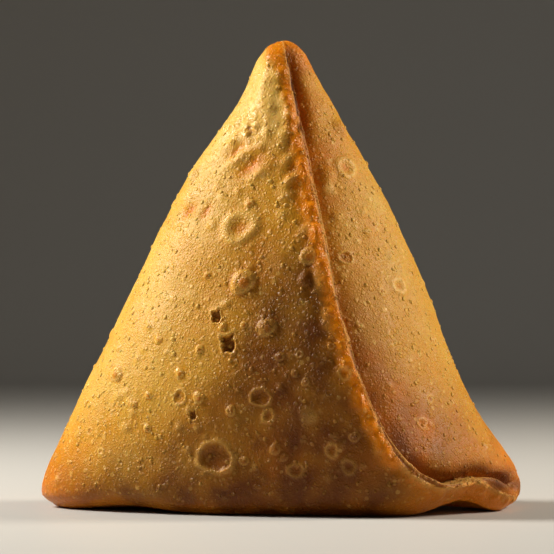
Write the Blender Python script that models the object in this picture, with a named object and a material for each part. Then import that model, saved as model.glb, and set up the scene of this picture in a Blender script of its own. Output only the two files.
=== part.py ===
"""A samosa that stands on its base: one pastry pillow with a lapped seam down its front.

The dough is a cone round the filling. Its free edge laps over the right-hand panel from the tip
down to the foot, turns there, and runs on to the right-hand corner as a wavy pinched lip.
The solid is a stack of rings. Each ring starts on the free edge, goes left round the cone, and
comes back along the right-hand panel to the root under that edge.
Lengths below are millimetres, +X right, +Y away from the front, +Z up.
"""

import math

import bmesh
import bpy
import numpy as np

MM = 0.001

# Overall size
TIP_Z = 86.0
TIP_Y = 1.0
DOME_Z = 83.2

# Heights against plan positions of the four rails that carry each level section.
LEFT_RAIL = ((0, -41.0), (1.2, -43.1), (3, -44.0), (7, -43.0), (12, -40.8), (18, -38.0), (27, -33.7),
             (40, -27.7), (49, -23.6), (60, -17.7), (72, -9.9), (78, -6.3), (86, -2.2))
RIGHT_RAIL = ((0, 41.0), (1.2, 43.1), (3, 44.0), (7, 43.0), (10, 41.4), (18, 36.3), (27, 31.8),
              (40, 27.0), (49, 23.1), (58, 18.5), (72, 11.0), (78, 7.5), (86, 3.2))
FRONT_RAIL = ((0, -20.5), (2, -23.2), (5.5, -24.4), (20, -23.6), (40, -18.9), (60, -12.2), (76, -6.2),
              (86, -2.2))
BACK_RAIL = ((0, 22.5), (2, 25.4), (5.5, 26.6), (20, 25.6), (40, 20.8), (60, 14.2), (76, 8.0),
             (86, 4.0))

# The free edge of the dough, as x at each height, and the lip that it turns into, as (x, z).
SEAM_RAIL = ((11, 19.9), (16, 17.1), (27, 12.7), (38, 9.8), (55, 6.4), (76, 2.2), (86, 0.5))
LIP_RAIL = ((19.9, 11.0), (22.1, 8.4), (24.7, 6.5), (27.5, 5.2), (30.7, 5.3), (33.6, 6.4), (35.6, 5.9),
            (38.6, 4.1), (41.0, 2.9), (42.4, 2.5))
RIDGE_LEFT_OF_SEAM = 3.4
RIDGE_STRAIGHT_ABOVE_Z = 3.0
RIDGE_LEAST = 0.15    # of the left rail's reach

# Roundness of a level section: how far each corner's tangents reach, as shares of its width or depth.
PANEL_PULL = 0.60
RIGHT_FRONT_PULL = 0.34
SIDE_PULL = 0.47
PINCHED_SIDE_PULL = 0.27
PINCH_BELOW_Z = 34.0
SIDES_BACK = 2.0
SIDES_BACK_BELOW_Z = 60.0

# Dough edge
FLAP_THICKNESS = 1.5
FLAP_REACH = 16.0
EDGE_GAP = 0.25
LIP_GAP = 0.8    # of the lip's flare
UNDERCUT = 0.8
LIP_FLARE = 1.9
LIP_FLARES_BY = 0.25    # the lip runs from 0 at the foot of the seam to 1 at the corner
LIP_SINKS_OVER = 0.125
LIP_WIDTH = 2.8
LIP_DIP = 7.0
TIP_FADE = 5.0
CREASE_DEPTH = 0.55
POCKET_DEPTH = 2.0
POCKET_Z = 75.0
POCKET_HALF_HEIGHT = 9.0
GUTTER_DEPTH = 2.4
GUTTER_FULL_BY = 1 / 3
CREASE_WIDTH = 1.5
CREASE_SHARPNESS = 2.2
CORNER_POCKET_DEPTH = 3.6
CORNER_POCKET_WIDTH = 2.6
CORNER_POCKET_FROM = 0.55
CORNER_POCKET_FULL_OVER = 0.25

# Underside
RIM_Z = 0.8
RIM_LEVEL_SHARE = 0.35    # how much of the drop to the rim is even along the lip; the rest comes at once
RIM_DROP_POWER = 4
CORNER_Z = 5.2
RIGHT_RISE_POWER = 0.6
LEFT_ARCH = (-38.5, -27.0, -17.0, 1.4)
RIGHT_ARCH = (22.0, 32.5, 36.8, 3.0)
ARCH_FADE = 7.0
HEEL = ((0.25, 0.55), (0.9, 0.2), (2.2, 0.0))
FLOOR_RINGS = (0.62, 0.32)

# Mesh density
BODY_RINGS = 38
LIP_RINGS = 18
LEFT_POINTS = 22
BACK_POINTS = 20
RIGHT_POINTS = 12
FINE_POINTS = 160
EDGE_SAMPLES = 600
HALVINGS = 40
FIRST_RING = 0.3
RING_BUNCHING = 1.6
LEFT_BUNCHING = 1.25
RIGHT_BUNCHING = 1.5
NORMAL_STEP = 0.3
NORMAL_TURN = 0.01
MERGE_WITHIN = 0.02

PASTRY_COLOUR = (0.64, 0.36, 0.12, 1.0)
PASTRY_ROUGHNESS = 0.5


def smooth_step(t):
    t = np.clip(t, 0.0, 1.0)
    return t * t * (3.0 - 2.0 * t)


def smooth_rail(points):
    """A smooth function through (position, value) pairs that never overshoots them."""
    at, value = np.array(points, float).T
    slope = np.diff(value) / np.diff(at)
    tangent = np.concatenate(([slope[0]], np.zeros(len(at) - 2), [slope[-1]]))
    for i in range(1, len(at) - 1):
        before, after = slope[i - 1], slope[i]
        if before * after > 0:
            tangent[i] = 2 * before * after / (before + after)

    def rail(x):
        x = np.asarray(x, float)
        i = np.clip(np.searchsorted(at, x) - 1, 0, len(at) - 2)
        step = at[i + 1] - at[i]
        t = np.clip((x - at[i]) / step, 0.0, 1.0)
        return (
            value[i] * (1 + 2 * t) * (1 - t) ** 2
            + value[i + 1] * t * t * (3 - 2 * t)
            + tangent[i] * step * t * (1 - t) ** 2
            - tangent[i + 1] * step * t * t * (1 - t)
        )

    return rail


left_x = smooth_rail(LEFT_RAIL)
right_x = smooth_rail(RIGHT_RAIL)
front_y = smooth_rail(FRONT_RAIL)
back_y = smooth_rail(BACK_RAIL)
seam_x = smooth_rail(SEAM_RAIL)


def tip_share(z):
    """How far the rounded tip has closed: 1 below it, 0 at the top."""
    over = np.clip((z - DOME_Z) / (TIP_Z - DOME_Z), 0.0, 1.0)
    return np.sqrt(1.0 - over * over)


def anchors(z):
    """Left, right, ridge, front and back of the level section at height z, and how far back its sides lie."""
    foot_z, foot_x = SEAM_RAIL[0]
    close = tip_share(z)
    middle = seam_x(DOME_Z)
    left = middle + (left_x(z) - middle) * close
    right = middle + (right_x(z) - middle) * close
    ridge = np.where(z < foot_z, foot_x, seam_x(z))
    ridge = ridge - RIDGE_LEFT_OF_SEAM * smooth_step(z / (2 * RIDGE_STRAIGHT_ABOVE_Z) + 0.5)
    ridge = middle + (np.maximum(ridge, left_x(z) * RIDGE_LEAST) - middle) * close
    front = TIP_Y + (front_y(z) - TIP_Y) * close
    back = TIP_Y + (back_y(z) - TIP_Y) * close
    side_y = TIP_Y + SIDES_BACK * smooth_step(1 - z / SIDES_BACK_BELOW_Z)
    return left, right, ridge, front, back, side_y


def section(a, z):
    """The point of the plain pillow at height z. a runs 0 front, 1 left, 2 back, 3 right, 4 front."""
    left, right, ridge, front, back, side_y = anchors(z)
    side = SIDE_PULL + (PINCHED_SIDE_PULL - SIDE_PULL) * smooth_step(1 - z / PINCH_BELOW_Z)
    corners = (
        (ridge, front), (left, side_y), ((left + right) / 2, back), (right, side_y), (ridge, front),
    )
    heading = ((-1, 0), (0, 1), (1, 0), (0, -1), (-1, 0))
    a = np.mod(a, 4.0)
    k = int(a)
    t = a - k
    (x0, y0), (x1, y1) = corners[k], corners[k + 1]
    wide, deep = abs(x1 - x0), abs(y1 - y0)
    leaving = PANEL_PULL * wide if k % 2 == 0 else side * deep
    arriving = (side * deep, PANEL_PULL * wide, side * deep, RIGHT_FRONT_PULL * wide)[k]
    cx0, cy0 = x0 + heading[k][0] * leaving, y0 + heading[k][1] * leaving
    cx1, cy1 = x1 - heading[k + 1][0] * arriving, y1 - heading[k + 1][1] * arriving
    b = ((1 - t) ** 3, 3 * t * (1 - t) ** 2, 3 * t * t * (1 - t), t ** 3)
    return np.array((
        b[0] * x0 + b[1] * cx0 + b[2] * cx1 + b[3] * x1,
        b[0] * y0 + b[1] * cy0 + b[2] * cy1 + b[3] * y1,
        z,
    ))


def outward(a, z):
    """The pillow's outward direction there."""
    z = min(z, TIP_Z - 2 * NORMAL_STEP)
    around = section(a + NORMAL_TURN, z) - section(a - NORMAL_TURN, z)
    up = section(a, z + NORMAL_STEP) - section(a, z - NORMAL_STEP)
    n = np.cross(up, around)
    return n / np.linalg.norm(n)


def seam_place(x, z):
    """Where on the front of the section at height z the pillow stands at x."""
    low, high = 3.0, 4.0
    for _ in range(HALVINGS):
        mid = (low + high) / 2
        low, high = (mid, high) if section(mid, z)[0] > x else (low, mid)
    return (low + high) / 2


def seam_path():
    """(x, z, lip) of the free edge for each ring. lip runs from 0 at the seam's foot to 1 at the corner."""
    foot_z = SEAM_RAIL[0][0]
    rings = []
    for i in range(BODY_RINGS):
        t = (i + FIRST_RING) / (BODY_RINGS - 1 + FIRST_RING)
        z = TIP_Z - (TIP_Z - foot_z) * t ** RING_BUNCHING
        rings.append((float(seam_x(z)), z, 0.0))
    across, height = np.array(LIP_RAIL, float).T
    along = np.concatenate(([0.0], np.cumsum(np.hypot(np.diff(across), np.diff(height)))))
    x_along, z_along = smooth_rail(list(zip(along, across))), smooth_rail(list(zip(along, height)))
    for i in range(1, LIP_RINGS + 1):
        lip = i / LIP_RINGS
        rings.append((float(x_along(lip * along[-1])), float(z_along(lip * along[-1])), lip))
    return rings


def fine_edge(rings):
    """Many (x, z, lip) points along the free edge, to measure distances from."""
    at = np.linspace(0, len(rings) - 1, EDGE_SAMPLES)
    return np.stack([np.interp(at, np.arange(len(rings)), column) for column in np.array(rings).T], axis=1)


def nearest(edge, x, z):
    """Distance from (x, z) to the free edge, and lip at the nearest point of it."""
    away = np.hypot(edge[:, 0] - x, edge[:, 1] - z)
    return away.min(), edge[away.argmin(), 2]


def crease_at(z, lip):
    """How deep and wide the right-hand panel sinks beside the free edge: a pocket at the tip, a gutter along
    the lip, and a wider hollow where the lip meets the corner."""
    pocket = POCKET_DEPTH * math.exp(-(((z - POCKET_Z) / POCKET_HALF_HEIGHT) ** 2))
    gutter = CREASE_DEPTH + (GUTTER_DEPTH - CREASE_DEPTH) * smooth_step(lip / GUTTER_FULL_BY)
    hollow = smooth_step((lip - CORNER_POCKET_FROM) / CORNER_POCKET_FULL_OVER)
    depth = max(gutter, pocket) + (CORNER_POCKET_DEPTH - GUTTER_DEPTH) * hollow
    return depth, CREASE_WIDTH + (CORNER_POCKET_WIDTH - CREASE_WIDTH) * hollow


def flare_at(lip):
    """How far the lip stands out from the dough behind it."""
    return LIP_FLARE * float(smooth_step(lip / LIP_FLARES_BY)) * corner_fade(lip)


def corner_fade(lip):
    """The free edge sinks into the right-hand corner over the last of the lip."""
    return float(smooth_step((1 - lip) / LIP_SINKS_OVER))


def places(reach, heights, fractions):
    """(a, z) at these fractions of the way along a run of the section."""
    line = np.array([section(a, z) for a, z in zip(reach, heights)])
    along = np.concatenate(([0.0], np.cumsum(np.linalg.norm(np.diff(line, axis=0), axis=1))))
    at = np.asarray(fractions) * along[-1]
    return list(zip(np.interp(at, along, reach), np.interp(at, along, heights)))


def ring(x_seam, z_seam, lip, edge):
    """One ring of points, from the free edge leftwards round to the root under it."""
    foot_z = SEAM_RAIL[0][0]
    on_lip = lip > 0
    left = 1 - lip
    above_rim = RIM_LEVEL_SHARE * left + (1 - RIM_LEVEL_SHARE) * left ** RIM_DROP_POWER
    z_side = RIM_Z + (foot_z - RIM_Z) * above_rim if on_lip else z_seam
    z_right = CORNER_Z + (foot_z - CORNER_Z) * left if on_lip else z_seam
    ends_in = corner_fade(lip)
    tip = float(smooth_step((TIP_Z - z_seam) / TIP_FADE))
    points = []

    # From the edge over the ridge to the left-hand corner. It dips under the lip.
    start = seam_place(x_seam, z_seam)
    reach = np.linspace(start, 5.0, FINE_POINTS)
    plan = np.array([section(a, z_seam) for a in reach])
    run = np.concatenate(([0.0], np.cumsum(np.linalg.norm(np.diff(plan, axis=0), axis=1))))
    heights = z_side + (z_seam - z_side) * np.exp(-run / LIP_DIP)
    for a, z in places(reach, heights, np.linspace(0, 1, LEFT_POINTS) ** LEFT_BUNCHING):
        point = section(a, z)
        away, lip_there = nearest(edge, point[0], z)
        lift = tip * FLAP_THICKNESS * (1 - smooth_step(away / FLAP_REACH))
        lift += flare_at(lip_there) * math.exp(-((away / LIP_WIDTH) ** 2))
        points.append(point + outward(a, z) * lift * corner_fade(lip_there))

    # The back, from the left-hand corner to the right-hand one.
    for i in range(1, BACK_POINTS + 1):
        t = i / BACK_POINTS
        points.append(section(5.0 + 2.0 * t, z_side + (z_right - z_side) * smooth_step(t)))

    # The right-hand panel, from its corner back to the root under the edge.
    root = seam_place(x_seam - UNDERCUT * tip * ends_in, z_seam)
    reach = np.linspace(3.0, root, FINE_POINTS)
    t = (reach - 3.0) / max(root - 3.0, 1e-6)
    heights = z_seam + (z_right - z_seam) * (1 - t) ** RIGHT_RISE_POWER
    depth, width = crease_at(z_seam, lip)
    depth *= tip * ends_in
    fractions = 1 - np.linspace(1, 0, RIGHT_POINTS + 1)[1:] ** RIGHT_BUNCHING
    for a, z in places(reach, heights, fractions):
        point = section(a, z)
        away, _ = nearest(edge, point[0], z)
        points.append(point - outward(a, z) * depth * math.exp(-((away / width) ** CREASE_SHARPNESS)))

    # The under side of the dough's edge.
    lift = EDGE_GAP * tip * ends_in + LIP_GAP * flare_at(lip)
    points.append(section(start, z_seam) + outward(start, z_seam) * lift)
    return points


def arch_lift(x):
    """How far the underside stands off the table at x."""
    for low, peak, high, rise in (LEFT_ARCH, RIGHT_ARCH):
        if low < x < high:
            share = (x - low) / (peak - low) if x < peak else (high - x) / (high - peak)
            return rise * float(smooth_step(share))
    return 0.0


def arched(point):
    """The point lifted by the arch under it, which fades out up the sides."""
    x, y, z = point
    return x, y, z + arch_lift(x) * (1 - float(smooth_step(z / ARCH_FADE)))


def underside(rim):
    """Rings that carry the last ring round the heel and in across the base."""
    rim = np.array(rim)
    middle = rim[:, :2].mean(axis=0)
    inward = middle - rim[:, :2]
    inward /= np.linalg.norm(inward, axis=1)[:, None]
    rings = []
    for inset, share in HEEL:
        level = rim.copy()
        level[:, :2] += inward * inset
        level[:, 2] = rim[:, 2] * share
        rings.append(level)
    for share in FLOOR_RINGS:
        level = rings[len(HEEL) - 1].copy()
        level[:, :2] = middle + (level[:, :2] - middle) * share
        rings.append(level)
    return rings, middle


def mesh_of(rings, top, bottom):
    """Closed mesh through the rings, with a point above the first and one below the last."""
    mesh = bmesh.new()
    rows = [[mesh.verts.new(np.array(arched(point)) * MM) for point in row] for row in rings]
    top, bottom = mesh.verts.new(np.asarray(top) * MM), mesh.verts.new(np.asarray(bottom) * MM)
    count = len(rows[0])
    for upper, lower in zip(rows, rows[1:]):
        for j in range(count):
            k = (j + 1) % count
            mesh.faces.new((upper[j], upper[k], lower[k], lower[j]))
    for j in range(count):
        k = (j + 1) % count
        mesh.faces.new((top, rows[0][k], rows[0][j]))
        mesh.faces.new((bottom, rows[-1][j], rows[-1][k]))
    bmesh.ops.remove_doubles(mesh, verts=mesh.verts, dist=MERGE_WITHIN * MM)
    bmesh.ops.recalc_face_normals(mesh, faces=mesh.faces)
    for face in mesh.faces:
        face.smooth = True
    return mesh


def centre_on_base(mesh):
    """Moves the mesh so that its box stands centred on the origin."""
    corners = np.array([v.co for v in mesh.verts])
    low, high = corners.min(axis=0), corners.max(axis=0)
    bmesh.ops.translate(mesh, verts=mesh.verts, vec=(-(low[0] + high[0]) / 2, -(low[1] + high[1]) / 2, -low[2]))


def pastry_material():
    material = bpy.data.materials.new("pastry")
    material.use_nodes = True
    shader = material.node_tree.nodes["Principled BSDF"]
    shader.inputs["Base Color"].default_value = PASTRY_COLOUR
    shader.inputs["Roughness"].default_value = PASTRY_ROUGHNESS
    return material


def build():
    for obj in list(bpy.data.objects):
        bpy.data.objects.remove(obj)
    path = seam_path()
    edge = fine_edge(path)
    rings = [ring(x, z, lip, edge) for x, z, lip in path]
    below, middle = underside(rings[-1])
    top = (float(seam_x(DOME_Z)), TIP_Y, TIP_Z)
    mesh = mesh_of(rings + below, top, (middle[0], middle[1], 0.0))
    centre_on_base(mesh)
    data = bpy.data.meshes.new("samosa")
    mesh.to_mesh(data)
    mesh.free()
    data.materials.append(pastry_material())
    samosa = bpy.data.objects.new("samosa", data)
    bpy.context.scene.collection.objects.link(samosa)


build()
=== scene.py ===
import math

import bpy
import numpy as np
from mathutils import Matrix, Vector, noise
from mathutils.bvhtree import BVHTree


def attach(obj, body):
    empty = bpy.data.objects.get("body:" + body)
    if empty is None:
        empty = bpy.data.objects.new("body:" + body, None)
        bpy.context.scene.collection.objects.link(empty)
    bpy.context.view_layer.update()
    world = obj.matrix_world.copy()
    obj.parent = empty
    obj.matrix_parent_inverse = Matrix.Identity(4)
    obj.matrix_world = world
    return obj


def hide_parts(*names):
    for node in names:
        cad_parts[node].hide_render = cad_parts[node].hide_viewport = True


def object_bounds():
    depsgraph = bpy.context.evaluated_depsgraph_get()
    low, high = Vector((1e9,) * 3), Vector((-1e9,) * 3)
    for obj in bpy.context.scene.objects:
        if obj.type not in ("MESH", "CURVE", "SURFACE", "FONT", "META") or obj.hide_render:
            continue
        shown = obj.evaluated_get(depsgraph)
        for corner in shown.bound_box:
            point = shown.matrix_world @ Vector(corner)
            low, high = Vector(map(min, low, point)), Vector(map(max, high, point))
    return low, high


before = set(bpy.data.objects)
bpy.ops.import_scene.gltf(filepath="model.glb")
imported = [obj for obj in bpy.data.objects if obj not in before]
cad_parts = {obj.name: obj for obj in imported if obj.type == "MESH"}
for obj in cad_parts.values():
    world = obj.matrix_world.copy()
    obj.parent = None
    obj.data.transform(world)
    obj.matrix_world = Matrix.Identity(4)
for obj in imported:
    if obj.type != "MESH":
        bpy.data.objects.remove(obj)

mm = 0.001
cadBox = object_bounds()
cadLow, cadHigh = cadBox
height = (cadHigh.z - cadLow.z) / mm    # all the sizes below are millimetres in the object's own frame
halfWidth = (cadHigh.x - cadLow.x) / mm / 2
rng = np.random.default_rng(11)


def onlySelect(piece):
    bpy.ops.object.select_all(action="DESELECT")
    piece.select_set(True)
    bpy.context.view_layer.objects.active = piece


def smooth(low, high, value):    # 0 at low, 1 at high, eased
    t = np.clip((value - low) / (high - low), 0, 1)
    return t * t * (3 - 2 * t)


def bell(value, width):
    return np.exp(-(value / width) ** 2)


def lumps(points, size, shift=0.0):    # soft noise about 0, with features of this size
    where = points / size + shift
    return np.array([noise.noise(Vector(p)) for p in where])


def meshPoints(piece):
    co = np.empty(len(piece.data.vertices) * 3, np.float32)
    piece.data.vertices.foreach_get("co", co)
    return co.reshape(-1, 3).astype(float) / mm


def meshNormals(piece):
    no = np.empty(len(piece.data.vertices) * 3, np.float32)
    piece.data.vertex_normals.foreach_get("vector", no)
    return no.reshape(-1, 3).astype(float)


def movePoints(piece, points):
    piece.data.vertices.foreach_set("co", (points * mm).astype(np.float32).ravel())
    piece.data.update()


def paint(piece, name, values):    # a point attribute that the material reads
    layer = piece.data.attributes.get(name) or piece.data.attributes.new(name, "FLOAT", "POINT")
    layer.data.foreach_set("value", np.clip(values, 0, 1).astype(np.float32))


cameraLook = {    # millimetres and degrees
    "distance": 450.0,
    "elevation": -1.3,
    "aim": (-0.6, 0.0, 42.4),
    "viewWidth": 101.9,
    "sensor": 36.0,
}


def cameraPlace():
    e = math.radians(cameraLook["elevation"])
    back = Vector((0, -math.cos(e), math.sin(e)))
    return (Vector(cameraLook["aim"]) + back * cameraLook["distance"]) * mm, back


def makeCamera():
    place, back = cameraPlace()
    camera = bpy.data.cameras.new("camera")
    camera.sensor_width = cameraLook["sensor"]
    camera.lens = camera.sensor_width * cameraLook["distance"] / cameraLook["viewWidth"]
    camera.clip_start, camera.clip_end = 0.01, 10
    holder = bpy.data.objects.new("camera", camera)
    bpy.context.scene.collection.objects.link(holder)
    holder.location = place
    holder.rotation_euler = (-back).to_track_quat("-Z", "Y").to_euler()
    bpy.context.scene.camera = holder


stageLook = {    # metres
    "radius": 1.1,
    "sweep": 0.35,    # radius of the turn from floor to wall
    "steps": 7,
    "wall": 0.5,
    "colour": (0.54, 0.525, 0.50, 1),
    "roughness": 0.55,
}


def makeStage():
    bpy.ops.object.select_all(action="DESELECT")
    bpy.ops.mesh.primitive_circle_add(vertices=64, radius=stageLook["radius"], fill_type="NGON")
    floor = bpy.context.object
    floor.name = "floor"
    bpy.ops.object.mode_set(mode="EDIT")
    bpy.ops.mesh.select_all(action="DESELECT")
    bpy.ops.mesh.select_non_manifold()
    sweep, steps = stageLook["sweep"], stageLook["steps"]
    radius = stageLook["radius"]
    for i in range(1, steps + 1):    # the floor turns up into a wall all round
        turn, last = math.pi / 2 * i / steps, math.pi / 2 * (i - 1) / steps
        rise = sweep * (math.cos(last) - math.cos(turn))
        wider = radius + sweep * (math.sin(turn) - math.sin(last))
        bpy.ops.mesh.extrude_edges_move(TRANSFORM_OT_translate={"value": (0, 0, rise)})
        bpy.ops.transform.resize(value=(wider / radius, wider / radius, 1))
        radius = wider
    bpy.ops.mesh.extrude_edges_move(TRANSFORM_OT_translate={"value": (0, 0, stageLook["wall"])})
    bpy.ops.object.mode_set(mode="OBJECT")
    bpy.ops.object.shade_smooth()
    material = bpy.data.materials.new("pale floor")
    material.use_nodes = True
    shader = material.node_tree.nodes["Principled BSDF"]
    shader.inputs["Base Color"].default_value = stageLook["colour"]
    shader.inputs["Roughness"].default_value = stageLook["roughness"]
    floor.data.materials.append(material)


lightLook = {    # metres and watts
    "key": {"from": (-0.36, 0.04, 0.31), "size": 0.12, "power": 3.4, "colour": (1.0, 0.96, 0.88)},
    "side": {"from": (0.46, 0.06, 0.30), "size": 0.15, "power": 2.8, "colour": (1.0, 0.91, 0.77)},
    "front": {"from": (-0.22, -0.58, 0.34), "size": 0.30, "power": 0.04, "colour": (1.0, 0.96, 0.90)},
    "target": (0, 0, 0.04),
    "room": 0.055,
    "roomColour": (1.0, 0.95, 0.88, 1),
}


def makeLights():
    target = Vector(lightLook["target"])
    for name in ("key", "side", "front"):
        look = lightLook[name]
        light = bpy.data.lights.new(name, "AREA")
        light.energy, light.size, light.color = look["power"], look["size"], look["colour"]
        holder = bpy.data.objects.new(name, light)
        bpy.context.scene.collection.objects.link(holder)
        holder.location = look["from"]
        holder.rotation_euler = (target - holder.location).to_track_quat("-Z", "Y").to_euler()
    world = bpy.data.worlds.new("room")
    world.use_nodes = True
    world.node_tree.nodes["Background"].inputs["Color"].default_value = lightLook["roomColour"]
    world.node_tree.nodes["Background"].inputs["Strength"].default_value = lightLook["room"]
    bpy.context.scene.world = world
    bpy.context.scene.view_settings.view_transform = "Standard"


makeCamera()
makeStage()
makeLights()
print("camera, stage and light are up")


seam = {    # (across, up) along the dough's free edge, from the tip to the foot, then along the lip
    "edge": ((0.5, 86), (2.2, 76), (6.4, 55), (9.8, 38), (12.7, 27), (17.1, 16), (19.9, 11)),
    "lip": ((19.9, 11), (22.1, 8.4), (24.7, 6.5), (27.5, 5.2), (30.7, 5.3), (33.6, 6.4), (35.6, 5.9),
            (38.6, 4.1), (42.4, 2.5)),
    "band": 3.6,    # width of the browned strip beside the edge
    "lumpSize": 2.3,
    "lumpHeight": 0.60,
    "lipLumpHeight": 0.70,
    "rollHeight": 0.55,    # the edge curls outwards
    # across, then how far the cut face turns up there, in degrees
    "lean": ((10, 0), (13, 17), (18.5, 29), (22, 47), (27, 76)),
}

blisters = {    # kind: (across, up, radius) as they show from the front
    "dome": ((-6.9, 41.5, 2.4), (5.0, 46.2, 1.6), (-2.5, 33.1, 1.8), (-5.8, 56.0, 0.9), (-14.9, 29.2, 0.8),
             (-6.7, 33.6, 0.7), (-15.0, 20.2, 1.1), (-9.1, 17.8, 1.0), (-0.1, 27.7, 0.9), (4.6, 23.1, 0.8),
             (2.6, 24.7, 0.7), (13.6, 13.0, 1.0), (9.3, 29.7, 0.7), (-29.9, 24.4, 1.5),
             (-18.5, 24.7, 0.9), (-1.0, 10.8, 1.1), (0.7, 9.3, 0.8), (-6.7, 8.6, 0.9), (-24.2, 20.6, 0.7),
             (-24.4, 14.6, 0.8), (-26.8, 18.9, 0.7), (-22.2, 30.8, 0.8), (-10.2, 6.9, 0.8),
             (-13.6, 42.8, 0.7), (-10.6, 33.3, 0.8)),
    "ring": ((-7.5, 51.6, 3.5), (3.6, 28.2, 0.7), (-2.2, 16.9, 1.4), (9.5, 10.5, 1.4), (12.6, 7.5, 1.5),
             (2.9, 6.9, 1.6), (12.1, 62.5, 2.5), (21.9, 40.8, 1.9), (18.7, 39.8, 0.8), (26.0, 15.5, 1.3),
             (27.5, 20.0, 1.0), (28.4, 30.5, 0.9), (11.8, 24.6, 1.3), (-32.5, 10.3, 0.8)),
    "swelling": ((11.2, 69.8, 2.6), (8.6, 61.0, 2.4), (4.6, 42.0, 1.6), (-16.0, 61.0, 2.2)),
    "crater": ((-3.6, 20.3, 1.7), (-11.9, 9.3, 3.0), (-18.5, 20.3, 1.3), (12.1, 46.0, 1.3),
               (-5.6, 69.5, 1.0), (-34.5, 14.0, 0.6)),
    "torn": ((-11.8, 35.2, 1.15), (-9.6, 30.2, 1.6), (-16.0, 17.0, 0.8)),
    "pale": ((8.9, 58.6, 1.5), (15.5, 54.5, 0.7), (17.8, 52.2, 0.8), (13.7, 51.7, 0.7), (15.4, 50.9, 0.6),
             (14.1, 49.0, 0.8), (19.2, 36.4, 0.6), (14.1, 34.2, 0.6), (13.7, 32.3, 0.6), (23.8, 27.1, 0.7),
             (20.5, 29.9, 0.6), (-4.8, 7.5, 0.8), (5.2, 17.0, 2.0)),
}

wrinkles = (    # across, up, half length, half width, slope in degrees, height
    (-7.6, 63.5, 3.0, 0.7, 38, 0.50), (-5.3, 62.4, 2.6, 0.8, 40, -0.34), (-7.9, 65.2, 1.9, 0.6, 42, -0.30),
    (-8.8, 66.7, 2.0, 0.6, 42, 0.34), (-4.0, 60.6, 2.4, 0.7, 38, 0.40),
    (-16.8, 56.6, 1.6, 1.2, 60, 0.35), (-16.4, 54.2, 1.8, 0.7, 45, -0.3),
    (-13.4, 54.0, 1.6, 0.6, 55, -0.3), (1.2, 63.3, 1.8, 0.6, 55, 0.40), (2.3, 62.0, 1.8, 0.4, 55, -0.3),
    (1.7, 59.5, 2.0, 0.6, 42, 0.45), (2.6, 58.3, 1.8, 0.4, 42, -0.3), (1.0, 56.8, 1.2, 0.7, 20, 0.35),
    (0.5, 67.0, 1.9, 0.7, 80, 0.40), (1.9, 66.6, 1.8, 0.5, 80, -0.3), (0.2, 53.2, 0.9, 0.8, 30, 0.3),
    (4.3, 50.5, 1.6, 0.7, 60, 0.30), (6.6, 41.0, 2.6, 0.8, 95, 0.35), (7.9, 34.5, 2.6, 0.8, 100, 0.3),
)

# Puckered, wet dough below the tip, and how high its puckers are.
pool = {"across": -6.5, "up": 69.0, "radius": 4.2, "coarse": 0.40, "fine": 0.30}

frontDepth = 2.0    # what lies before this is the side with the seam


def polyline(points, step=0.4):
    points = np.array(points, float)
    along = np.concatenate(([0], np.cumsum(np.linalg.norm(np.diff(points, axis=0), axis=1))))
    at = np.arange(0, along[-1], step)
    return np.stack([np.interp(at, along, points[:, k]) for k in range(points.shape[1])], axis=1)


def distanceTo(line, points):    # from each point to a chain of points, in blocks to save memory
    found = np.empty(len(points))
    for start in range(0, len(points), 20000):
        block = points[start:start + 20000, None, :] - line[None, :, :]
        found[start:start + 20000] = np.sqrt((block ** 2).sum(axis=2)).min(axis=1)
    return found


edgeLine = polyline(seam["edge"])
lipLine = polyline(seam["lip"])


def sides(points):
    # Which points lie on the sheet that laps over, and which on either sheet of the front,
    # then how far each is from the lapping sheet's edge and from its lip.
    across, up = points[:, 0], points[:, 2]
    edgeX = np.interp(up, [p[1] for p in seam["edge"]][::-1], [p[0] for p in seam["edge"]][::-1])
    lipZ = np.interp(across, [p[0] for p in seam["lip"]], [p[1] for p in seam["lip"]])
    footX, footZ = seam["edge"][-1]
    over = np.where(up > footZ, across < edgeX, (across < footX) | (up < lipZ))
    front = points[:, 1] < frontDepth
    flat = points[:, [0, 2]]
    return over & front, front, distanceTo(edgeLine, flat), distanceTo(lipLine, flat)


def startCrust():
    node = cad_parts["samosa"]
    piece = bpy.data.objects.new("crust", node.data.copy())
    bpy.context.scene.collection.objects.link(piece)
    piece.data.materials.clear()
    onlySelect(piece)
    bpy.ops.object.mode_set(mode="EDIT")
    bpy.ops.mesh.select_all(action="SELECT")
    bpy.ops.mesh.remove_doubles(threshold=0.00002)
    bpy.ops.mesh.tris_convert_to_quads(face_threshold=math.radians(50), shape_threshold=math.radians(70))
    bpy.ops.mesh.normals_make_consistent(inside=False)
    bpy.ops.object.mode_set(mode="OBJECT")
    finer = piece.modifiers.new("finer", "SUBSURF")
    finer.levels = finer.render_levels = 1
    bpy.ops.object.modifier_apply(modifier=finer.name)
    return piece


def placeOnFront(piece):
    # Each blister sits where the line of sight through its place meets the crust.
    eye, _ = cameraPlace()
    tree = BVHTree.FromObject(piece, bpy.context.evaluated_depsgraph_get())
    placed = []
    for kind, places in blisters.items():
        for across, up, radius in places:
            aim = Vector((across, 0, up)) * mm
            hit, normal, _, _ = tree.ray_cast(eye, (aim - eye).normalized())
            if hit is not None:
                placed.append((kind, np.array(hit) / mm, np.array(normal), radius))
    return placed


def facesOf(piece):    # centre, normal and area of each face
    count = len(piece.data.polygons)
    centres, normals, areas = (np.empty(count * n, np.float32) for n in (3, 3, 1))
    piece.data.polygons.foreach_get("center", centres)
    piece.data.polygons.foreach_get("normal", normals)
    piece.data.polygons.foreach_get("area", areas)
    return centres.reshape(-1, 3).astype(float) / mm, normals.reshape(-1, 3).astype(float), areas / mm ** 2


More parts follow.
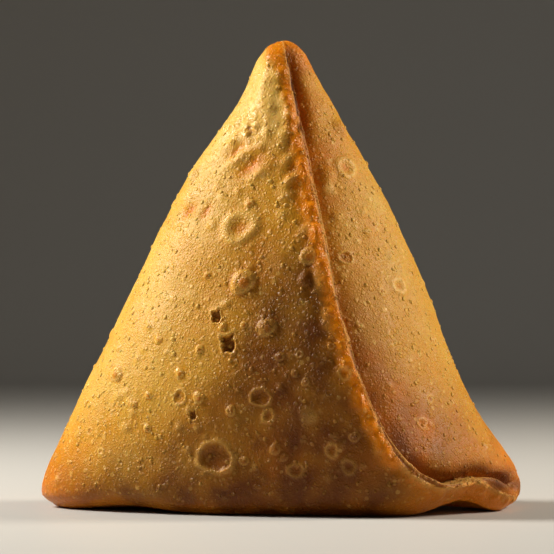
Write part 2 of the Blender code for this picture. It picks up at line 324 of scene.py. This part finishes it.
def anywhere(piece, count, wanted):
    # Evenly spread face centres, weighted by how many are wanted at each place.
    centres, normals, areas = facesOf(piece)
    chance = areas * wanted(centres, normals)
    chosen = rng.choice(len(centres), count, replace=False, p=chance / chance.sum())
    return centres[chosen], normals[chosen]


scatter = {"backBlisters": 60, "backKinds": {"dome": 0.5, "ring": 0.25, "crater": 0.1, "pale": 0.15},
           "backRadius": (0.8, 2.4), "bubbles": 330, "bubbleRadius": (0.45, 1.10)}


def placeBehind(piece):
    hidden = anywhere(piece, scatter["backBlisters"],
                      lambda c, n: (n[:, 1] > 0.35) * (c[:, 2] > 5) * (c[:, 2] < height - 10))
    placed = []
    for place, normal in zip(*hidden):
        kind = rng.choice(list(scatter["backKinds"]), p=list(scatter["backKinds"].values()))
        placed.append((str(kind), place, normal, rng.uniform(*scatter["backRadius"])))
    return placed


def placeBubbles(piece):
    found = anywhere(piece, scatter["bubbles"],
                     lambda c, n: (c[:, 2] > 2.5) * (c[:, 2] < height - 6) * (n[:, 2] > -0.4))
    least, most = scatter["bubbleRadius"]
    return [("bubble", place, normal, least + (most - least) * rng.random() ** 2)
            for place, normal in zip(*found)]


def edgesOf(piece):    # middle and length of each edge
    points = meshPoints(piece)
    pairs = np.empty(len(piece.data.edges) * 2, np.int32)
    piece.data.edges.foreach_get("vertices", pairs)
    first, second = points[pairs[0::2]], points[pairs[1::2]]
    return (first + second) / 2, np.linalg.norm(first - second, axis=1)


grid = {    # lengths of the mesh's edges, in millimetres
    "front": 0.44,
    "back": 0.62,
    "backFrom": 6,
    "under": 2.4,
    "underBelow": 0.4,
    "finest": 0.06,    # at a blister, and what each millimetre of its radius adds
    "fine": 0.11,
    "reach": 1.25,    # how far round a blister, in its radii
    "seam": 0.28,
    "seamReach": 1.6,
    "slack": 1.45,    # an edge this many times too long is split
    "rounds": 5,
}


def makeFine(piece, placed):
    # Splits edges until they are as short as their place needs: shortest at blisters and along the seam.
    for _ in range(grid["rounds"]):
        middles, lengths = edgesOf(piece)
        _, front, toEdge, toLip = sides(middles)
        size = np.where(middles[:, 1] < grid["backFrom"], grid["front"], grid["back"])
        size[middles[:, 2] < grid["underBelow"]] = grid["under"]
        for kind, place, _, radius in placed:
            near = np.linalg.norm(middles - place, axis=1) < radius * grid["reach"]
            size[near] = np.minimum(size[near], grid["finest"] + grid["fine"] * radius)
        size[front & (np.minimum(toEdge, toLip) < grid["seamReach"])] = grid["seam"]
        chosen = lengths > size * grid["slack"]
        onlySelect(piece)
        bpy.ops.object.mode_set(mode="EDIT")
        bpy.ops.mesh.select_mode(type="EDGE")
        bpy.ops.mesh.select_all(action="DESELECT")
        bpy.ops.object.mode_set(mode="OBJECT")
        piece.data.edges.foreach_set("select", chosen)
        bpy.ops.object.mode_set(mode="EDIT")
        bpy.ops.mesh.subdivide(number_cuts=1, smoothness=0.0)
        bpy.ops.mesh.select_mode(type="VERT")
        bpy.ops.object.mode_set(mode="OBJECT")
        print("crust:", chosen.sum(), "of", len(chosen), "edges split")


def raiseBlister(kind, u, v, radius, odd):
    # Height, paleness, darkness and toasting of one blister, at these places from its middle.
    turn = np.arctan2(v, u)
    away = np.hypot(u, v)
    d = away / radius * (1 + 0.09 * np.cos(2 * turn + odd) + 0.05 * np.cos(3 * turn - 2 * odd))
    inside = np.clip(1 - d * d, 0, 1)
    inner = np.hypot(u - 0.18 * radius, v + 0.18 * radius) / radius    # a smaller ring, off centre
    none = 0 * d
    if kind == "dome":
        top = 0.40 * radius * inside ** 0.7 - 0.07 * radius * bell(inner - 0.50, 0.09)
        light = smooth(1.06, 0.9, d) * (0.15 + 0.75 * bell(d - 0.85, 0.17)) + 0.7 * bell(inner - 0.52, 0.07)
        return top, light, none, 0.4 * bell(d - 1.08, 0.13) + 0.7 * smooth(0.44, 0.3, inner)
    if kind == "ring":
        top = 0.11 * radius * bell(d - 0.74, 0.26) - 0.03 * radius * smooth(0.4, 0.2, d)
        return top, bell(d - 0.76, 0.26), none, 0.6 * smooth(0.45, 0.2, d) + 0.2 * bell(d - 1.1, 0.12)
    if kind == "crater":
        ragged = d * (1 + 0.025 * np.cos(5 * turn + odd) + 0.025 * np.cos(9 * turn - odd))
        floor = smooth(0.90, 0.72, ragged)
        # Painted shadow: the crater's floor is darker on its upper left, where the rim shades it.
        deep = bell(np.hypot(u + 0.25 * radius, v - 0.15 * radius) / radius, 0.34)
        top = 0.13 * radius * bell(ragged - 0.98, 0.12) - radius * floor * (0.06 + 0.14 * deep)
        top += 0.05 * radius * floor * np.cos(5 * u / radius + odd) * np.cos(6 * v / radius - odd)
        dark = floor * (0.16 * bell(ragged - 0.78, 0.10) + 0.85 * deep)
        return top, bell(ragged - 1.0, 0.15), dark, 0.3 * floor
    if kind == "torn":
        ragged = np.maximum(np.abs(u * 0.97 + v * 0.2) / 0.72, np.abs(v - u * 0.2)) / radius
        ragged = ragged * (1 + 0.10 * np.cos(5 * turn + odd) + 0.06 * np.cos(8 * turn - 2 * odd))
        floor = smooth(0.95, 0.75, ragged)
        top = 0.16 * radius * bell(ragged - 1.12, 0.13) - 0.65 * radius * floor
        return top, bell(ragged - 1.1, 0.16), floor * 0.85, 0.5 * floor
    if kind == "swelling":
        return 0.26 * radius * inside ** 1.5, none, none, none
    if kind == "pale":
        return 0.13 * radius * inside, smooth(1.1, 0.4, d) * 0.8, none, none
    return 0.28 * radius * inside ** 0.8, 0.5 * smooth(1.0, 0.3, d), none, none


def poolOf(points):
    away = np.hypot(points[:, 0] - pool["across"], points[:, 2] - pool["up"])
    return bell(away, pool["radius"]) * (points[:, 1] < frontDepth)


def reliefOf(points, normals, placed):
    # The same four as for one blister, over the whole crust.
    lap, _, toEdge, toLip = sides(points)
    rise, pale, dark, toast = (np.zeros(len(points)) for _ in range(4))
    for kind, place, normal, radius in placed:
        near = np.flatnonzero(np.abs(points - place).max(axis=1) < radius * 1.6)
        near = near[normals[near] @ normal > 0.3]
        if not len(near):
            continue
        across = np.cross((0, 0, 1), normal)
        across /= np.linalg.norm(across)
        offset = points[near] - place
        made = raiseBlister(kind, offset @ across, offset @ np.cross(normal, across), radius,
                            place[0] * 5 + place[2])
        rise[near] += made[0]
        for total, part in zip((pale, dark, toast), made[1:]):
            total[near] = np.maximum(total[near], part)
    across, up = points[:, 0], points[:, 2]
    for x, z, length, width, slope, lift in wrinkles:
        a = math.radians(slope)
        u = (across - x) * math.cos(a) + (up - z) * math.sin(a)
        v = (up - z) * math.cos(a) - (across - x) * math.sin(a)
        fold = np.where(lap, bell(u, length) * bell(v, width), 0)
        rise += lift * fold
        pale = np.maximum(pale, 0.8 * fold * (lift > 0))
        toast = np.maximum(toast, -3.6 * lift * fold)
    puckers = pool["coarse"] * lumps(points, 1.5, 31.0) + pool["fine"] * lumps(points, 0.8, 33.0)
    rise += poolOf(points) * puckers
    # Painted light: the dough below the tip, beside the seam, is painted paler where it catches light and
    # glints.
    nearTip = lap * smooth(62, 70, up) * smooth(86, 80, up) * smooth(2.0, 3.6, toEdge)
    pale = np.maximum(pale, nearTip * (0.85 + 0.9 * lumps(points, 1.6, 51.0)))
    ridge = np.where(lap, bell(toEdge, seam["band"]), 0) * smooth(84, 78, up)
    rise += seam["rollHeight"] * np.where(lap, bell(toEdge - 1.2, 1.2), 0) * smooth(85, 76, up)
    uneven = lumps(points, seam["lumpSize"], 3.0) + 0.5 * lumps(points, 1.1, 4.0)
    rise += ridge * seam["lumpHeight"] * uneven
    onLip = np.where(lap, bell(toLip, 3.0), 0) * smooth(18, 24, across)
    rise += onLip * seam["lipLumpHeight"] * lumps(points, 1.6, 9.0)
    return rise, pale, dark, toast


browning = {    # 0 is pale gold, 0.3 deep gold, and past 0.8 a dull red-brown
    "back": 0.18,
    "lap": 0.04,
    "inward": 0.24,    # what the middle of the lapping sheet adds
    "behind": 0.16,    # the sheet behind the seam
    "orange": 0.62,    # edges, corners and the tip
    "cornerReach": 16.0,
    "toasting": 0.8,
}


def brownOf(points):
    lap, front, toEdge, toLip = sides(points)
    across, up = points[:, 0], points[:, 2]
    under = front & ~lap
    gold = browning["back"] + 0.18 * smooth(36, 6, up) + 0.14 * lumps(points, 14.0, 61.0)
    # The lapping sheet is paler towards its left side, more so higher up, and browner towards its middle:
    # partly the frying's own colour, partly painted light where the lamp falls on the left.
    paler = smooth(40, 58, up)
    inward = smooth(0, 1, (across + 26 - 12 * paler) / (22 - 9 * paler)) * smooth(76, 60, up)
    gold = np.where(lap, browning["lap"] + browning["inward"] * inward + 0.12 * smooth(34, 8, up), gold)
    # Painted shade: the sheet behind the seam is painted browner beside the edge, where the lapping sheet
    # shades it.
    beside = (0.16 + 0.2 * smooth(50, 66, up)) * bell(toEdge, 6.0)
    beside += 0.2 * bell(toEdge, 9.0) * smooth(50, 26, up)
    gold = np.where(under, browning["behind"] + beside + 0.22 * smooth(32, 10, up), gold)
    bandWide = seam["band"] * (1 - 0.35 * smooth(55, 75, up)) * (1 + 0.25 * lumps(points, 3.0, 17.0))
    band = lap * smooth(1.35 * bandWide, 0.4 * bandWide, toEdge)
    lip = lap * bell(toLip, 4.0) * smooth(19, 23, across)
    tip = smooth(height - 8, height - 2, up) * smooth(-5.0, -1.0, across)
    corner = bell(np.abs(np.abs(across) - halfWidth) + 0.9 * up, browning["cornerReach"])
    foot = 0.8 * smooth(4.5, 0.5, up)
    orange = 1 - (1 - 0.95 * band) * (1 - 0.8 * lip) * (1 - tip) * (1 - corner) * (1 - foot)
    gold = gold * (1 + 0.3 * lumps(points, 5.0, 21.0)) + 0.10 * lumps(points, 9.0, 3.0)
    return gold + (browning["orange"] - gold) * orange


paintedShadeStrength = {    # how much painted shade each place gets, from 0 to 1
    "middle": 0.66,
    "spread": 0.62,
    # across, up: the spread lies below this
    "line": ((-43, 1), (-35, 8), (-22, 16), (-12, 26), (-4, 38), (3, 47), (9, 54)),
    "low": 0.86,
    "left": 0.22,
    "beside": 0.50,
    "pocket": (0.25, 0.65),    # all along the seam, and what is added near the tip
    "gutter": 0.90,
    "hollow": 0.97,
    "above": 0.45,
}


def deepOf(points):
    # Painted shade: the crust is painted darker low in the middle, beside the lap and in the hollows of the
    # fold, where shade falls on it.
    lap, front, toEdge, toLip = sides(points)
    across, up = points[:, 0], points[:, 2]
    under, offEdge = front & ~lap, smooth(1.2, 4.0, toEdge)
    line = np.interp(across, *np.transpose(paintedShadeStrength["line"]))
    always, nearTip = paintedShadeStrength["pocket"]
    share = {
        "middle": lap * bell(across - 4.0 + 0.15 * (up - 30), 10.5) * smooth(54, 37, up) * offEdge,
        "spread": lap * smooth(line + 5, line - 9, up) * offEdge * smooth(24, 17, across),
        "low": front * bell(across + 2.0, 27.0) * smooth(13, 2, up),
        "left": bell(across + halfWidth, 11.0) * smooth(12, 2, up),
        "beside": under * bell(toEdge, 7.0) * smooth(52, 28, up),
        "gutter": under * bell(toLip - 1.7, 1.3) * smooth(19, 23, across),
        "hollow": under * bell(np.hypot((across - 39.2) / 3.6, (up - 5.9) / 1.8), 1.0),
        "above": under * smooth(28, 10, up) * smooth(38, 29, across),
    }
    # Painted shadow in the pocket under the lapping sheet's edge, deepest near the tip.
    light = 1 - under * bell(toEdge, 2.1) * (always + nearTip * smooth(58, 72, up)) * smooth(85.5, 83, up)
    for name, where in share.items():
        light = light * (1 - paintedShadeStrength[name] * where)
    return (1 - light) * (1 + 0.35 * lumps(points, 4.0, 41.0))


oil = {"lap": 0.38, "edge": 0.50, "behind": 0.12, "pool": 1.2, "patchy": 0.35, "blister": 0.4}


def oilOf(points):
    # Oil gleams on the sheet that laps over, most below the tip; the sheet behind it is nearly dry.
    lap, _, toEdge, _ = sides(points)
    wet = np.where(lap, oil["lap"] + oil["edge"] * bell(toEdge, 3.0), oil["behind"])
    return np.maximum(wet, oil["pool"] * poolOf(points)) + oil["patchy"] * lumps(points, 3.5, 13.0)


def cutOf(points, normals):
    # The dough's bare cut edge: the thin face that looks right along the seam, and its rim.
    lap, front, toEdge, toLip = sides(points)
    lean = np.radians(np.interp(points[:, 0], *np.transpose(seam["lean"])))
    facing = normals[:, 0] * np.cos(lean) + normals[:, 2] * np.sin(lean)
    face = smooth(0.68, 0.92, facing) * smooth(2.0, 0.9, np.minimum(toEdge, toLip))
    along = np.maximum(bell(toEdge, 0.30), bell(toLip, 0.75) * smooth(18, 22, points[:, 0]))
    return front * np.maximum(face, 0.9 * along * lap)


def dress(piece, points, normals, pale, dark, toast):
    brown = brownOf(points)
    paint(piece, "browned", brown + (browning["orange"] - brown) * browning["toasting"] * toast)
    paint(piece, "deep", deepOf(points))
    paint(piece, "blistered", pale)
    # The blisters' pale skin, together with painted light below the tip.
    paint(piece, "pitted", dark)
    paint(piece, "cut", cutOf(points, normals))
    paint(piece, "oiled", oilOf(points) + oil["blister"] * pale)
    piece.data.polygons.foreach_set("use_smooth", np.ones(len(piece.data.polygons), bool))


body = {
    "swells": ((0.35, 16.0, 5.0), (0.16, 6.0, 8.0), (0.06, 1.5, 2.0)),    # height, size and shift of each
    "corner": 0.5,
    "slimmer": 0.9,
}


def settle(points, normals):
    # Subdivision pulls the sharp corners in a little: this puts them back, and slims the tip.
    up = points[:, 2]
    left, right = smooth(0.4, 0.8, -normals[:, 0]), smooth(0.4, 0.8, normals[:, 0])
    out = body["corner"] * (left * smooth(34, 22, up) + right * smooth(16, 8, up))
    return out - left * body["slimmer"] * smooth(68, 76, up)


def makeCrust():
    piece = startCrust()
    placed = placeOnFront(piece) + placeBehind(piece)
    makeFine(piece, placed)
    placed += placeBubbles(piece)
    points, normals = meshPoints(piece), meshNormals(piece)
    rise, pale, dark, toast = reliefOf(points, normals, placed)
    swell = sum(rises * lumps(points, size, shift) for rises, size, shift in body["swells"])
    swell += settle(points, normals)
    offBase = smooth(0.3, 3.0, points[:, 2])
    dress(piece, points, normals, pale, dark, toast)
    movePoints(piece, points + normals * ((rise + swell) * offBase)[:, None])
    print("crust: skin has", sum(len(p.vertices) - 2 for p in piece.data.polygons), "triangles")
    return piece


def smallRound(detail):    # one round shape of radius 1, as points and faces
    bpy.ops.object.select_all(action="DESELECT")
    bpy.ops.mesh.primitive_ico_sphere_add(subdivisions=detail, radius=1)
    shape = bpy.context.object
    points = np.array([v.co[:] for v in shape.data.vertices])
    faces = np.array([p.vertices[:] for p in shape.data.polygons])
    bpy.data.objects.remove(shape)
    return points, faces


def sow(name, places, normals, radii, look):
    # Copies one small round to every place as a single mesh, each turned to stand on the skin.
    points, faces = smallRound(look["detail"])
    side = np.cross(normals, (0.31, 0.17, 0.94))
    side /= np.linalg.norm(side, axis=1, keepdims=True)
    other = np.cross(normals, side)
    count = len(places)
    wobble = 1 + look["rough"] * rng.standard_normal((count, len(points), 1))
    local = points[None] * wobble * radii[:, None, None]
    stretch = rng.uniform(0.85, 1.2, (count, 1, 1))
    copies = (local[..., :1] * side[:, None] * stretch + local[..., 1:2] * other[:, None] / stretch
              + local[..., 2:] * normals[:, None] * look["flatness"])
    copies += (places - normals * radii[:, None] * look["sunk"])[:, None]
    data = bpy.data.meshes.new(name)
    allFaces = faces[None] + (np.arange(count) * len(points))[:, None, None]
    data.from_pydata((copies.reshape(-1, 3) * mm).tolist(), [], allFaces.reshape(-1, 3).tolist())
    piece = bpy.data.objects.new(name, data)
    bpy.context.scene.collection.objects.link(piece)
    raised = np.clip(points[:, 2], 0, 1)
    return piece, np.tile(raised, count)


beadLook = {
    "count": 2300,
    "least": 0.12,
    "most": 0.48,
    "detail": 2,
    "flatness": 0.62,
    "rough": 0.0,
    "sunk": 0.12,    # how far into the skin, as a share of its radius
}


def makeBeads(skin):
    look = beadLook
    found = anywhere(skin, look["count"], lambda c, n: (c[:, 2] > 1.5) * (n[:, 2] > -0.5)
                     * np.where(n[:, 1] < 0, 1.5, 1.0) * np.where(c[:, 0] < 0, 1.3, 1.0))
    sizes = look["least"] + (look["most"] - look["least"]) * rng.random(look["count"]) ** 3
    piece, raised = sow("beads", *found, sizes, look)
    none = np.zeros(len(raised))
    dress(piece, meshPoints(piece), meshNormals(piece), 0.25 + 0.45 * raised, none, none)
    return piece


crumbLook = {
    "count": 170,
    "least": 0.08,
    "most": 0.21,
    "detail": 2,
    "flatness": 0.9,
    "rough": 0.12,
    "sunk": 0.12,
}


def makeCrumbs(skin):
    # Dry crumbs that cling along the cut edge, with a few more over the skin.
    def clinging(c, n):
        _, front, toEdge, _ = sides(c)
        rightSide = (n[:, 0] > 0.7) & (c[:, 1] < 4) & (c[:, 2] > 8) & (c[:, 2] < 34)
        return 0.004 * (c[:, 2] > 2) + 0.05 * rightSide + 1.0 * (front & (toEdge < 0.5) & (n[:, 1] < 0.3))
    look = crumbLook
    places, normals = anywhere(skin, look["count"], clinging)
    sizes = rng.uniform(look["least"], look["most"], look["count"])
    piece, raised = sow("crumbs", places, normals, sizes, look)
    none = np.zeros(len(raised))
    dress(piece, meshPoints(piece), meshNormals(piece), none + 0.9, none, none)
    return piece


class Wire:    # a socket that maths can be written on
    def __init__(self, tree, socket):
        self.tree, self.socket = tree, socket

    def node(self, kind, settings=None, sockets=None, out=0):
        made = self.tree.nodes.new(kind)
        for name, value in (settings or {}).items():
            if name == "stops":
                ramp = made.color_ramp
                while len(ramp.elements) < len(value):
                    ramp.elements.new(1.0)
                for element, (position, colour) in zip(ramp.elements, value):
                    element.position, element.color = position, colour
            else:
                setattr(made, name, value)
        for name, value in (sockets or {}).items():
            if isinstance(value, Wire):
                self.tree.links.new(value.socket, made.inputs[name])
            else:
                made.inputs[name].default_value = value
        return Wire(self.tree, made.outputs[out])

    def maths(self, operation, *values):
        return self.node("ShaderNodeMath", {"operation": operation}, dict(enumerate(values)))

    def __add__(self, other):
        return self.maths("ADD", self, other)

    __radd__ = __add__

    def __sub__(self, other):
        return self.maths("SUBTRACT", self, other)

    def __rsub__(self, other):
        return self.maths("SUBTRACT", other, self)

    def __mul__(self, other):
        return self.maths("MULTIPLY", self, other)

    __rmul__ = __mul__

    def __truediv__(self, other):
        return self.maths("DIVIDE", self, other)

    def atLeast(self, other):
        return self.maths("MAXIMUM", self, other)

    def between(self, low, high):    # 0 at low, 1 at high, eased
        return self.node("ShaderNodeMapRange", {"interpolation_type": "SMOOTHSTEP"},
                         {"Value": self, "From Min": low, "From Max": high})

    def blend(self, first, second):    # colours, first where self is 0
        return self.node("ShaderNodeMix", {"data_type": "RGBA"}, {0: self, 6: first, 7: second}, out=2)

    def noise(self, size, detail, roughness=0.55):
        return self.node("ShaderNodeTexNoise", None,
                         {"Vector": self, "Scale": 1 / size, "Detail": detail, "Roughness": roughness})

    def spots(self, spacing, least, most):    # round spots of random sizes: 1 in the middle and 0 outside
        distance = self.node("ShaderNodeTexVoronoi", None, {"Vector": self, "Scale": 1 / spacing})
        chance = Wire(self.tree, distance.socket.node.outputs["Color"])
        radius = chance * (most - least) + least
        return (1 - distance / radius).atLeast(0.0), radius


crustFinish = {
    "browning": (
        (0.0, (0.72, 0.42, 0.068, 1)),
        (0.25, (0.67, 0.30, 0.018, 1)),
        (0.45, (0.61, 0.205, 0.004, 1)),
        (0.62, (0.80, 0.230, 0.003, 1)),
        (1.0, (0.40, 0.085, 0.002, 1)),
    ),
    # The colour the painted shade darkens the skin towards.
    "deep": (0.125, 0.028, 0.001, 1),
    "straw": (0.87, 0.53, 0.135, 1),
    "pit": (0.20, 0.060, 0.006, 1),
    "cutDough": (0.80, 0.41, 0.095, 1),
    "largeSpots": (1.25 * mm, 0.08, 0.46),    # spacing, then least and most radius for that spacing
    "smallSpots": (0.55 * mm, 0.15, 0.60),
    "freckles": (2.1 * mm, 0.05, 0.28),
    "grainSize": 0.20 * mm,
    "frothSize": 0.32 * mm,
    "middleSize": 3.0 * mm,
    "broadSize": 13 * mm,
    "bubbleDepth": 0.42,    # millimetres, as the other depths
    "frothDepth": 0.12,
    "grainDepth": 0.05,
    "middleDepth": 0.05,
    "cutDepth": 0.30,
    "dry": 0.48,    # roughness
    "wet": 0.13,
    "gleam": 0.18,
    "glow": 0.20,    # light that passes through the crust's skin
    "glowRadius": (1.0, 0.35, 0.08),
    "glowReach": 1.5 * mm,
}


def crustMaterial():
    look = crustFinish
    material = bpy.data.materials.new("fried crust")
    material.use_nodes = True
    tree = material.node_tree
    shader = tree.nodes["Principled BSDF"]
    start = Wire(tree, None)
    place = start.node("ShaderNodeTexCoord", out=3)
    browned, deep, blistered, pitted, cut, oiled = (
        start.node("ShaderNodeAttribute", {"attribute_name": name}, out=2)
        for name in ("browned", "deep", "blistered", "pitted", "cut", "oiled"))

    large, largeRadius = place.spots(*look["largeSpots"])
    small, smallRadius = place.spots(*look["smallSpots"])
    freckle, _ = place.spots(*look["freckles"])
    froth = place.noise(look["frothSize"], 2.0, 0.6)
    grain = place.noise(look["grainSize"], 2.0)
    middle = place.noise(look["middleSize"], 4.0, 0.6)
    broad = place.noise(look["broadSize"], 3.0)

    shade = browned + 0.26 * (middle - 0.5) + 0.16 * (broad - 0.5) - 0.10 * (froth - 0.5)
    skin = shade.node("ShaderNodeValToRGB", {"stops": look["browning"]}, {"Fac": shade})
    # Painted shade: the skin darkens towards a deep brown where shade falls.
    skin = (deep * (0.94 + 0.25 * (middle - 0.5))).blend(skin, look["deep"])
    plain = (1 - 0.9 * browned) * (1 - 0.7 * deep)    # spots show least where the crust is browned and where shade is painted
    specks = large.between(0.0, 0.5) * 0.30 + small * 0.24 + freckle.between(0.0, 0.3) * 0.55
    specks = specks * (1.7 - oiled) + froth.between(0.55, 0.80) * 0.25
    skin = (specks * plain).blend(skin, look["straw"])
    # Paler straw at blisters, and painted light below the tip.
    skin = (blistered * 0.80 * plain).blend(skin, look["straw"])
    skin = (pitted * 0.9).blend(skin, look["pit"])
    skin = (cut * (0.62 + 0.5 * froth)).blend(skin, look["cutDough"])

    wet = (oiled + 0.5 * (middle - 0.5)) * (1 - cut) * (1 - 0.6 * pitted)
    rough = look["dry"] - wet * (look["dry"] - look["wet"]) + 0.10 * (grain - 0.5)
    domes = large.maths("POWER", large, 0.6) * largeRadius
    domes = domes + small.maths("POWER", small, 0.6) * smallRadius * 0.5
    relief = domes * look["bubbleDepth"] + froth * look["frothDepth"] + grain * look["grainDepth"]
    relief = relief + middle * look["middleDepth"] + cut * froth * look["cutDepth"]
    bump = start.node("ShaderNodeBump", None, {"Height": relief, "Strength": 1.0, "Distance": mm})

    for name, value in (("Base Color", skin), ("Roughness", rough), ("Normal", bump)):
        tree.links.new(value.socket, shader.inputs[name])
    shader.inputs["Specular IOR Level"].default_value = look["gleam"]
    shader.inputs["Subsurface Weight"].default_value = look["glow"]
    shader.inputs["Subsurface Radius"].default_value = look["glowRadius"]
    shader.inputs["Subsurface Scale"].default_value = look["glowReach"]
    return material


crust = makeCrust()
friedCrust = crustMaterial()
pieces = [crust, makeBeads(crust), makeCrumbs(crust)]
for piece in pieces:
    piece.data.materials.append(friedCrust)
    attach(piece, "root")
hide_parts("samosa")
print("crust is finished")
